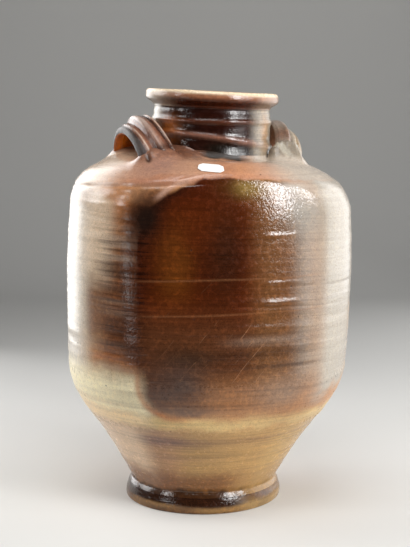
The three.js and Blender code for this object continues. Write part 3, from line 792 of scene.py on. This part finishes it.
shoulder_line = wall_line([
    (drum_top_radius, drum_top_level, drum_top_angle), (edge_radius, edge_level, edge_angle),
    (slope_radius, slope_level, slope_angle), (neck_radius, neck_foot_level, 0),
])
shoulder_inside = inside_of(shoulder_line, heading(drum_top_angle), heading(0))
shoulder_radius, shoulder_level = shoulder_line[:, :1], shoulder_line[:, 1:]
neck_flare = neck_foot_flare * eased(shoulder_radius, neck_radius + neck_flare_reach, neck_radius)
shoulder_relief = throwing_relief(shoulder_level) + shoulder_crease(shoulder_level)
shoulder_relief = shoulder_relief + panel_fold(shoulder_level) + neck_flare
smears = clay_smears(shoulder_line)
right_smear = eased(smears, 2, 9) * past(0, 10)
left_smear = eased(smears, 0.5, 5) * past(-20, -30)
web_shade = eased(shoulder_radius, neck_radius + 30, neck_radius + 10) * sector(-84, -72, -32, -22)
pool_reach = neck_radius + pool_width + pool_wave * kiln_noise(shoulder_level, 40, 60, 73)
olive_pool = eased(shoulder_radius, pool_reach, pool_reach - pool_edge)
olive_pool = olive_pool * np.clip(1.4 * bell(facing, -10, 26), 0, 1)
shoulder_paint = painted(
    fired_colour(shoulder_level),
    olive_pool=((34, 24, 15), olive_pool),
    right_smear=((124, 114, 100), 0.85 * right_smear),
    left_smear=((118, 80, 63), 0.8 * left_smear),
    web_shade=((92, 58, 42), 0.75 * web_shade),
    # painted shade in the thumb pit
    thumb_pits=((44, 26, 19), np.clip(0.4 * clay_bank(shoulder_line, *left_thumb_pit), 0, 0.85)),
    flutes=((184, 178, 164), 0.6 * right_smear * eased(kiln_noise(shoulder_level, 150, 60, 72), -0.3, 0.7)),
)
shoulder_masks = body_masks(shoulder_level)
shoulder_masks["dull"] = shoulder_masks["dull"] + 0.3 * olive_pool
by_neck = eased(shoulder_radius, neck_radius + neck_dip_reach, neck_radius)
shoulder = thrown_section("shoulder_glazed", shoulder_line, shoulder_inside, shoulder_relief, shoulder_paint,
                          shoulder_masks, wood_fired_glaze("shoulder_glaze", 0.17, 0.27),
                          smears + neck_dip(by_neck))
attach(shoulder, "root")
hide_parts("shoulder")

# Neck: the short upright collar, thrown on the shoulder, with the ridges of the potter's fingers.
# Its glaze is a thick dark red-brown that broke paler on the ridges and pooled olive-black at its foot in
# front; its paler ridges are partly painted highlight, and its pale sides are painted reflections.
neck_top_level = 409.0
high_ridge_level, high_ridge_height, high_ridge_reach, high_ridge_wave = 396.0, 1.6, 2.8, 0.8
low_ridge_level, low_ridge_height, low_ridge_reach, low_ridge_drift = 377.0, 1.7, 3.0, 6.0
low_ridge_turn = math.radians(70)
groove_depth, groove_drop, groove_reach = 0.8, 1.5, 2.2


def neck_ridges(level):
    """Two finger ridges that run round the neck, the lower one rising and falling as it goes, and a groove
    under the lip."""
    wave = high_ridge_level + high_ridge_wave * np.sin(azimuth * 2)
    drift = low_ridge_level + low_ridge_drift * np.cos(azimuth + low_ridge_turn)
    high = high_ridge_height * bell(level, wave, high_ridge_reach)
    low = low_ridge_height * bell(level, drift, low_ridge_reach)
    low = low * eased(level, neck_foot_level, neck_foot_level + 6)
    groove = groove_depth * bell(level, neck_top_level - groove_drop, groove_reach)
    ridges = (high + low) * eased(level, neck_top_level, neck_top_level - 5)
    return ridges - groove * eased(level, neck_top_level, neck_top_level - 1)


neck_line = straight((neck_radius, neck_foot_level), (neck_radius, neck_top_level), 54)
neck_inside = straight((neck_radius - wall, neck_foot_level), (neck_radius - wall, neck_top_level), 8)
neck_level = neck_line[:, 1:]
neck_fade = eased(neck_level, neck_foot_level, neck_foot_level + 3)
neck_flare = np.clip(1 - (neck_level - neck_foot_level) / neck_flare_rise, 0, 1) ** 2
neck_relief = throwing_relief(neck_level) + neck_ridges(neck_level) + neck_foot_flare * neck_flare
on_ridges = np.clip(neck_ridges(neck_level) / high_ridge_height, 0, 1)
neck_colour = painted(
    tone(38, 12, 5),
    dark_mottle=((24, 8, 4), eased(kiln_noise(neck_level, 9, 12, 61), -0.4, 0.6)),
    # paler ridges: partly the glaze breaking, partly painted highlight
    ridges=((100, 56, 38), 0.55 * on_ridges**1.5),
    low_ridge=((150, 108, 92), 0.6 * on_ridges**2 * eased(neck_level, 390, 384)),
    # painted reflections of the side lamps down the neck's sides, the right one partly pale ash
    right_side=((178, 168, 150), 0.6 * sector(14, 36, 90, 130)),
    left_side=((206, 196, 178), 0.65 * sector(-160, -120, -90, -70)),
    left_orange=((180, 104, 46), 0.75 * patch(neck_level, -66, 12, 387, 12)),
    right_ochre=((176, 130, 82), 0.6 * patch(neck_level, 43, 8, 388, 18)),
    olive_pool=((22, 15, 9), np.clip(1.3 * patch(neck_level, -8, 20, 370, 7), 0, 1)),
)
neck_masks = {"streak": 0.35 * neck_fade, "scuff": 0, "dull": 0}
by_shoulder = eased(neck_level, neck_foot_level + neck_dip_reach, neck_foot_level)
neck = thrown_section("neck_glazed", neck_line, neck_inside, neck_relief, neck_colour, neck_masks,
                      wood_fired_glaze("neck_glaze", 0.19, 0.3), neck_dip(by_shoulder))
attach(neck, "root")
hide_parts("neck_collar")

# Rim: the lip, rolled outward over the neck with a flat land on top for a stopper or a cover.
# The glaze ran off its top and left it cream; its face is pinkish brown over the dark neck, with painted
# highlights at its left and right ends.
lip_radius, lip_level = neck_radius + 8.2, neck_top_level + 9
lip_leave, lip_arrive = 3.0, 4.5
land_outer = lip_radius - 4
land_inner = land_outer - 7
lip_inner_drop = 6.0
lip_wobble = 0.25
bore = neck_radius - wall


def lip_outline():
    """The lip's outside from the seam, flaring to its widest and rounding on to the land, then the land."""
    flare = cubic((neck_radius, neck_top_level), (neck_radius, neck_top_level + lip_leave),
                  (lip_radius, lip_level - lip_arrive), (lip_radius, lip_level), 22)
    roll = curve((lip_radius, lip_level), (lip_radius, rim_level), (land_outer, rim_level), 18)
    land = straight((land_outer, rim_level), (land_inner, rim_level), 9)
    return np.concatenate([flare, roll[1:], land[1:]])


lip_line = lip_outline()
lip_inside = np.concatenate([
    curve((land_inner, rim_level), (bore, rim_level), (bore, rim_level - lip_inner_drop), 12)[1:],
    straight((bore, rim_level - lip_inner_drop), (bore, neck_top_level), 5)[1:],
])[::-1]
lip_rise = lip_line[:, 1:]
lip_fade = eased(lip_rise, neck_top_level, neck_top_level + 4)
lip_relief = throwing_relief(lip_rise) + lip_wobble * lip_fade * kiln_noise(lip_rise, 13, 60, 61)
on_top = eased(lip_rise + 0.8 * kiln_noise(lip_rise, 18, 40, 62), rim_level - 5, rim_level - 1.5)
lip_colour = painted(
    tone(70, 27, 7),
    dark_mottle=((54, 20, 6), eased(kiln_noise(lip_rise, 9, 12, 63), -0.4, 0.6)),
    pinkish_face=((150, 102, 76), 0.85 * eased(lip_rise, 415, 421)),
    # painted highlights at the lip's right and left ends
    right_side=((186, 160, 138), 0.5 * sector(14, 40, 95, 130)),
    left_side=((204, 190, 170), 0.55 * sector(-160, -120, -80, -48)),
    cream_top=((232, 210, 178), on_top),
)
lip_masks = {"streak": 0.2 * lip_fade, "scuff": 0, "dull": 0.1 * on_top}
rim = thrown_section("rim_glazed", lip_line, lip_inside, lip_relief, lip_colour, lip_masks,
                     wood_fired_glaze("rim_glaze", 0.16, 0.35))
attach(rim, "root")
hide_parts("rim_lip")

# Lugs: two straps pulled from a lump of clay, ribbed along their length by the fingers, bent over into
# arches beside the neck and pressed on at both roots. The left one is mauve-brown, rubbed pale on its ribs,
# with a painted highlight on its crown and painted shade in its grooves and at its roots; the right one was
# wiped to a pale beige-grey, with painted shade in its hollow and its notch.
left_lug = {"heading": 180, "root_radius": neck_radius + 8.7, "half_width": 17.0, "flare": 3.0, "notch": 0.15}
right_lug = {"heading": 0, "root_radius": neck_radius + 1.6, "half_width": 15.0, "flare": 0.0, "notch": -0.05}
lug_half_span, lug_rise, lug_overhang = 49.0, 41.0, 14.5
lug_base_level = slope_level - 9
lug_limit = math.radians(81)
strap_thickness, strap_root_thickness = 7.0, 4.0
strap_crown_slope, strap_root_slope = math.radians(39), math.radians(20)
strap_wander, strap_wander_pace = 0.05, 3.1
strap_bow, strap_bow_power = 5.0, 2.2
strap_sink = 0.4
lug_steps, strap_steps = 150, 60
thread_place, inner_thread_place = 0.27, -0.92
# Each roll or groove: height in mm, then place past the notch and reach, as shares of the half width.
notch_rolls = [(2.9, -0.42, 0.27), (1.5, 0.6, 0.28), (0.9, thread_place, 0.09), (-1.2, 0.0, 0.09)]
inner_thread_height, inner_groove_depth = 1.3, 1.5


def strap_rolls(share, notch):
    """The strap's upper face across its width, from the inner edge at -1 to the outer at 1, in mm: a broad
    roll, an outer roll with a thin ridge on it, a notch between them, a thin inner ridge past a groove."""
    rolls = sum(height * bell(share, notch + place, reach) for height, place, reach in notch_rolls)
    inner_thread = inner_thread_height * bell(share, inner_thread_place, 0.07)
    inner_groove = inner_groove_depth * bell(share, min(notch - 0.88, -0.7), 0.12)
    return rolls + inner_thread - inner_groove - strap_sink


def strap_lug(lug):
    """The strap's rolled section carried over an arch: the middle line is half an oval, the section turns
    with it, slopes down and outward, flares and thickens at the roots, and bows down towards the neck. It
    gives the points, the place across the strap, 1 on the underside, and the turn from the crown."""
    turn = np.linspace(-lug_limit, lug_limit, lug_steps)[:, None]
    aside, lift = np.sin(turn), np.cos(turn)
    middle = np.concatenate([lug["root_radius"] + lug_overhang * lift, lug_half_span * aside,
                             lug_base_level + lug_rise * lift], 1)
    along = np.concatenate([-lug_overhang * aside, lug_half_span * lift, -lug_rise * aside], 1)
    along /= np.linalg.norm(along, axis=1, keepdims=True)
    slope = strap_root_slope + (strap_crown_slope - strap_root_slope) * lift
    wide = np.concatenate([np.cos(slope), 0 * slope, -np.sin(slope)], 1)
    wide -= along * (wide * along).sum(1, keepdims=True)
    wide /= np.linalg.norm(wide, axis=1, keepdims=True)
    thick = np.cross(wide, along)
    root = aside**6
    half = (strap_thickness + strap_root_thickness * root) / 2
    share = -np.cos(np.linspace(0, np.pi, strap_steps))[None, :]
    edge = np.sqrt(np.clip(1 - share**6, 0, None))
    wander = strap_wander * np.sin(turn * strap_wander_pace + lug["heading"])
    upper = (half + strap_rolls(share + wander, lug["notch"])) * edge
    lower = -half * edge
    ring = np.concatenate([share, share[:, -2:0:-1]], 1) + 0 * turn
    height = np.concatenate([upper, lower[:, -2:0:-1]], 1)
    height = height - strap_bow * np.clip(-ring, 0, None) ** strap_bow_power
    across = (lug["half_width"] + lug["flare"] * root) * ring
    points = middle[:, None] + across[..., None] * wide[:, None] + height[..., None] * thick[:, None]
    side = math.radians(lug["heading"])
    east = points[..., 0] * math.cos(side) - points[..., 1] * math.sin(side)
    north = points[..., 0] * math.sin(side) + points[..., 1] * math.cos(side)
    under = np.concatenate([0 * upper, 0 * lower[:, -2:0:-1] + 1], 1)
    return settled(np.stack([east, north, points[..., 2]], -1)), ring + wander, under, np.abs(turn) + 0 * ring


left_points, left_share, left_under, left_turn = strap_lug(left_lug)
left_notch = left_lug["notch"]
left_grain = 0.5 + 0.5 * np.sin(47 * left_share + 9 * np.sin(7 * left_turn))
# paler on the rolls from rubbing, and on the arch's crown as a painted highlight
left_rubbed = (0.25 + 0.6 * eased(left_turn, 0.9, 0.3)) * eased(strap_rolls(left_share, left_notch), 0.9, 2.2)
left_threads = bell(left_share, left_notch + thread_place, 0.05) + bell(left_share, inner_thread_place, 0.05)
left_colour = painted(
    tone(124, 82, 64),
    dark_outside=((40, 30, 24), eased(left_share, 0.5, 0.66)),
    outside_grain=((60, 42, 35), 0.5 * left_grain * eased(left_share, 0.45, 0.6)),
    # painted shade in the inner groove and the notch
    inner_groove=((42, 24, 18), 0.9 * bell(left_share, -0.73, 0.13)),
    notch=((78, 50, 40), 0.6 * bell(left_share, left_notch, 0.07)),
    # paler rolls: rubbed, and paler on the arch's crown as a painted highlight
    rubbed_rolls=((190, 170, 158), left_rubbed),
    rubbed_threads=((206, 180, 160), 0.75 * np.clip(left_threads, 0, 1)),
    # painted shade at the roots, where the strap meets the shoulder
    roots=((52, 31, 24), 0.75 * bell(left_turn, 1.2, 0.1)),
    underside=((176, 92, 22), left_under),
)
left_masks = {"streak": 0.6 * (1 - left_under), "scuff": 0, "dull": 0.3 * eased(left_share, 0.5, 0.7)}
left_handle = grid_piece("left_lug", left_points, left_colour, left_masks,
                         wood_fired_glaze("lug_glaze", 0.18, 0.5), capped=True, lengthwise=True)
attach(left_handle, "root")
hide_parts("left_handle")

right_points, right_share, right_under, right_turn = strap_lug(right_lug)
right_notch = right_lug["notch"]
right_inner = eased(right_share, 0, -0.2)
right_beads = 0.5 + 0.5 * np.sin(right_turn * 40 + 5 * np.sin(right_turn * 13))
right_ridges = bell(right_share, right_notch + thread_place, 0.08) + bell(right_share, 0.8, 0.1)
right_colour = painted(
    tone(150, 138, 124),
    tan_outside=((150, 130, 104), eased(right_share, 0.1, 0.3)),
    # painted shade in the hollow under the strap's inner roll
    hollow=((112, 76, 58), 0.8 * right_inner * bell(right_turn, 0.72, 0.24)),
    crown=((178, 160, 148), 0.7 * right_inner * eased(right_turn, 0.5, 0.25)),
    # painted shade in the beaded notch
    beaded_notch=((70, 52, 40), 0.75 * right_beads * bell(right_share, right_notch, 0.1)),
    rubbed_ridges=((196, 186, 168), 0.45 * np.clip(right_ridges, 0, 1)),
    roots=((168, 160, 146), 0.8 * eased(right_turn, 0.95, 1.15)),
    underside=((140, 100, 74), right_under),
)
right_masks = {"streak": 0.4 * (1 - right_under), "scuff": 0, "dull": 0.06}
right_handle = grid_piece("right_lug", right_points, right_colour, right_masks,
                          wood_fired_glaze("pale_lug_glaze", 0.26, 0.5), capped=True, lengthwise=True)
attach(right_handle, "root")
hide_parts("right_handle")

# Label: a small blank paper sticker with cut corners, stuck on the front of the shoulder.
# It is plain white paper, a little matt, and follows the curve of the clay.
label_width, label_length, label_corner, label_thickness = 25.0, 16.0, 4.0, 0.4
label_heading, label_radius, label_lift = math.radians(-20.5), 107.5, 0.35
label_tilt, label_slope_share = math.radians(5), 0.92
label_rows, label_columns = 24, 40
paper_tone, fibre_tone, stain_tone = tone(244, 243, 239), tone(234, 232, 226), tone(226, 219, 206)
fibre_scale, stain_scale, fibre_depth = 1800.0, 120.0, 0.1


def on_shoulder(angle, radius, lift):
    """Points on the shoulder's outside at headings and radii, lifted off it, pressed and settled with it."""
    level = np.interp(radius, shoulder_line[::-1, 0], shoulder_line[::-1, 1])
    flat = pressed(radius, level, 0, angle)
    return settled(np.stack([flat * np.sin(angle), -flat * np.cos(angle), level + lift], -1))


def label_points():
    """Rows across the label, each a ring over its top face and back under it; the corners are cut by
    shortening the end rows."""
    along = np.linspace(-label_length / 2, label_length / 2, label_rows)[:, None]
    reach = label_width / 2 - np.clip(np.abs(along) - (label_length / 2 - label_corner), 0, None)
    share = np.linspace(-1, 1, label_columns)[None, :]
    angle = label_heading + share * reach / label_radius
    radius = label_radius + along * label_slope_share + share * reach * math.tan(label_tilt)
    back = on_shoulder(angle, radius, label_lift - label_thickness)
    front = on_shoulder(angle, radius, label_lift)
    return np.concatenate([back, front[:, ::-1]], 1)


def white_paper():
    """Blank white sticker paper: faint fibres, a little greyed towards brown in places."""
    material, tree, shader = new_material("white_paper")
    place = add_node(tree, "TexCoord", {}).outputs["Object"]
    fibre, stain = cloud(tree, place, fibre_scale), cloud(tree, place, stain_scale)
    colour = mixed(tree, spread(tree, fibre, 0.35, 0.7), paper_tone, fibre_tone)
    colour = mixed(tree, spread(tree, stain, 0.5, 0.8, 0.0, 0.4), colour, stain_tone)
    tree.links.new(colour, shader.inputs["Base Color"])
    shader.inputs["Roughness"].default_value = 0.62
    bumped = add_node(tree, "Bump", {"Strength": 0.2, "Distance": fibre_depth * metre, "Height": fibre})
    tree.links.new(bumped.outputs[0], shader.inputs["Normal"])
    return material


label = grid_piece("paper_label_sheet", label_points(), paper_tone, {}, white_paper(), capped=True)
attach(label, "root")
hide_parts("paper_label")

# Stage: a pale seamless sweep of paper, which is the floor and turns up behind the jar.
# It stands square to the camera, so its bend and its wall stay out of the jar's outline.
camera_azimuth = math.radians(-20)
sweep_front, sweep_bend, sweep_bend_radius = -0.45, 1.3, 0.7
sweep_height, sweep_half_width = 2.6, 3.2
sweep_side = np.array([math.cos(camera_azimuth), math.sin(camera_azimuth), 0])
sweep_back = np.array([-math.sin(camera_azimuth), math.cos(camera_azimuth), 0])


def paper_sweep():
    """The sweep's profile, flat, then a quarter round, then upright, carried straight from side to side."""
    bend = np.linspace(0, np.pi / 2, 24)
    wall_depth = sweep_bend + sweep_bend_radius
    depth = np.concatenate([[sweep_front], sweep_bend + sweep_bend_radius * np.sin(bend), [wall_depth]])
    height = np.concatenate([[0], sweep_bend_radius * (1 - np.cos(bend)), [sweep_height]])
    middle = depth[:, None] * sweep_back + height[:, None] * np.array([0, 0, 1])
    side = sweep_half_width * sweep_side
    points = np.stack([middle - side, middle + side], 1).reshape(-1, 3)
    first = np.arange(len(depth) - 1) * 2
    faces = np.stack([first, first + 1, first + 3, first + 2], -1)
    mesh = bpy.data.meshes.new("sweep")
    mesh.from_pydata(points.tolist(), [], faces.tolist())
    mesh.shade_smooth()
    return mesh


sweep_material, _, sweep_shader = new_material("pale_paper_sweep")
sweep_shader.inputs["Base Color"].default_value = tone(206, 205, 202)
sweep_shader.inputs["Roughness"].default_value = 0.8
sweep = bpy.data.objects.new("sweep", paper_sweep())
sweep.data.materials.append(sweep_material)
bpy.context.scene.collection.objects.link(sweep)

# Light: soft boxes above, at both sides and behind, so that the sides shine and the front stays deep.
# A tall narrow one at the right draws the highlight down the panel, two small ones the glints on the neck
# and the shoulder, and grids keep two of the left boxes from washing over the wall.
jar_middle = np.array([0, 0, 0.22])
air_colour, air_strength = (0.9, 0.95, 1.0, 1.0), 0.03


def soft_box(name, heading_degrees, elevation, distance, width, height, watts, shape="RECTANGLE", fan=180):
    """A soft box that faces the middle of the jar; its heading is measured from the camera's, and a grid can
    narrow the fan of its light. Angles are in degrees and lengths in metres."""
    turn, rise = math.radians(heading_degrees) + camera_azimuth, math.radians(elevation)
    toward = np.array([math.sin(turn) * math.cos(rise), -math.cos(turn) * math.cos(rise), math.sin(rise)])
    lamp = bpy.data.lights.new(name, "AREA")
    lamp.shape = shape
    lamp.spread = math.radians(fan)
    lamp.size, lamp.size_y, lamp.energy = width, height, watts
    box = bpy.data.objects.new(name, lamp)
    box.location = jar_middle + distance * toward
    box.rotation_euler = (math.pi / 2 - rise, 0, turn)
    bpy.context.scene.collection.objects.link(box)


soft_box("overhead_box", -8, 64, 1.5, 0.9, 0.9, 11.0)
soft_box("left_box", -104, 23, 1.4, 0.6, 0.8, 1.9, fan=80)
soft_box("left_strip", -46, -2.5, 1.3, 0.26, 0.2, 0.6)
soft_box("left_glint_box", -61, 25, 1.3, 0.2, 0.36, 2.2, "ELLIPSE")
soft_box("left_back_box", -136, 16.7, 0.8, 0.5, 0.9, 2.0, fan=100)
soft_box("window_box", 43.8, 24.7, 1.3, 0.22, 0.72, 10.8, "ELLIPSE")
soft_box("neck_glint_box", 64, 25, 1.3, 0.2, 0.36, 3.0, "ELLIPSE")
soft_box("right_box", 58, 10, 1.35, 0.45, 1.0, 3.2)
soft_box("right_side_box", 100, 10, 1.35, 0.9, 1.1, 7.8)
soft_box("right_back_box", 132, 10, 1.3, 0.7, 1.1, 4.5)
world = bpy.data.worlds.new("studio")
bpy.context.scene.world = world
world.use_nodes = True
world.node_tree.nodes["Background"].inputs["Color"].default_value = air_colour
world.node_tree.nodes["Background"].inputs["Strength"].default_value = air_strength

# Camera: at the height of the rim, left of the panel's middle, looking a little down.
# Its lens follows from the picture's height and the focal length, both in pixels.
image_height_px, focal_px = 547, 1293
camera_distance, camera_height, camera_aside = 1.347, 0.425, 0.0024
camera_pitch = math.radians(8)
lens = bpy.data.cameras.new("camera")
lens.lens = focal_px / image_height_px * lens.sensor_width
camera = bpy.data.objects.new("camera", lens)
camera.location = camera_aside * sweep_side - camera_distance * sweep_back + np.array([0, 0, camera_height])
camera.rotation_euler = (math.pi / 2 - camera_pitch, 0, camera_azimuth)
bpy.context.scene.collection.objects.link(camera)
bpy.context.scene.camera = camera
bpy.context.scene.view_settings.view_transform = "Standard"
